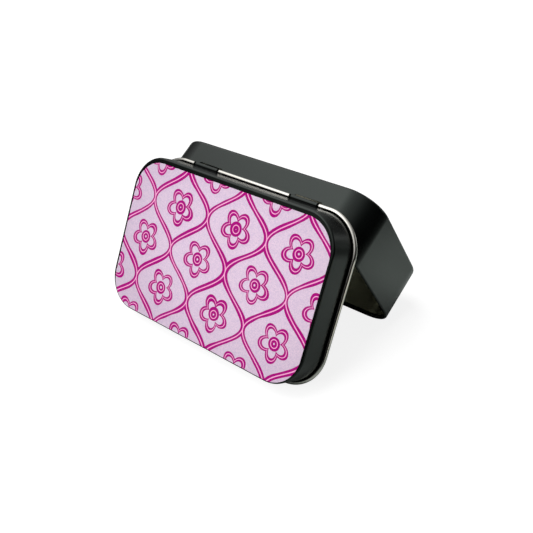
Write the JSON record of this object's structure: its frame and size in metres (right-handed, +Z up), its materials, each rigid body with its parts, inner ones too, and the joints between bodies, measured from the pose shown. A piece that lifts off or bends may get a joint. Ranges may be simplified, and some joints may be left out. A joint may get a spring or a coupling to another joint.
{
  "type": "hinged storage tin",
  "caption": "Flat hinged storage tin with a curled-edge lid, rolled hinge tabs and a printed face, standing open like a tent.",
  "frame": {"origin": "on the ground under the middle of the standing tin", "axes": "+Z up, +X along the hinge and the tin's longest side, -Y towards the printed lid's front"},
  "size_m": [0.0948, 0.075, 0.0573],
  "materials": {
    "base_tray": "satin black paint outside, bare tinplate inside",
    "lid": "satin black paint outside, bare tinplate inside and on the curled edge",
    "lid_label": "printed film with a fine sparkle"
  },
  "bodies": {
    "base": {"base_tray": "base_tray"},
    "lid": {"lid": "lid", "lid_label": "lid_label"}
  },
  "joints": [
    {"name": "lid_hinge", "type": "hinge", "parent": "base", "child": "lid", "pos_m": [0, -0.00139, 0.05304], "axis": [-1, 0, 0], "range_deg": [-59.5, 50.5]}
  ]
}
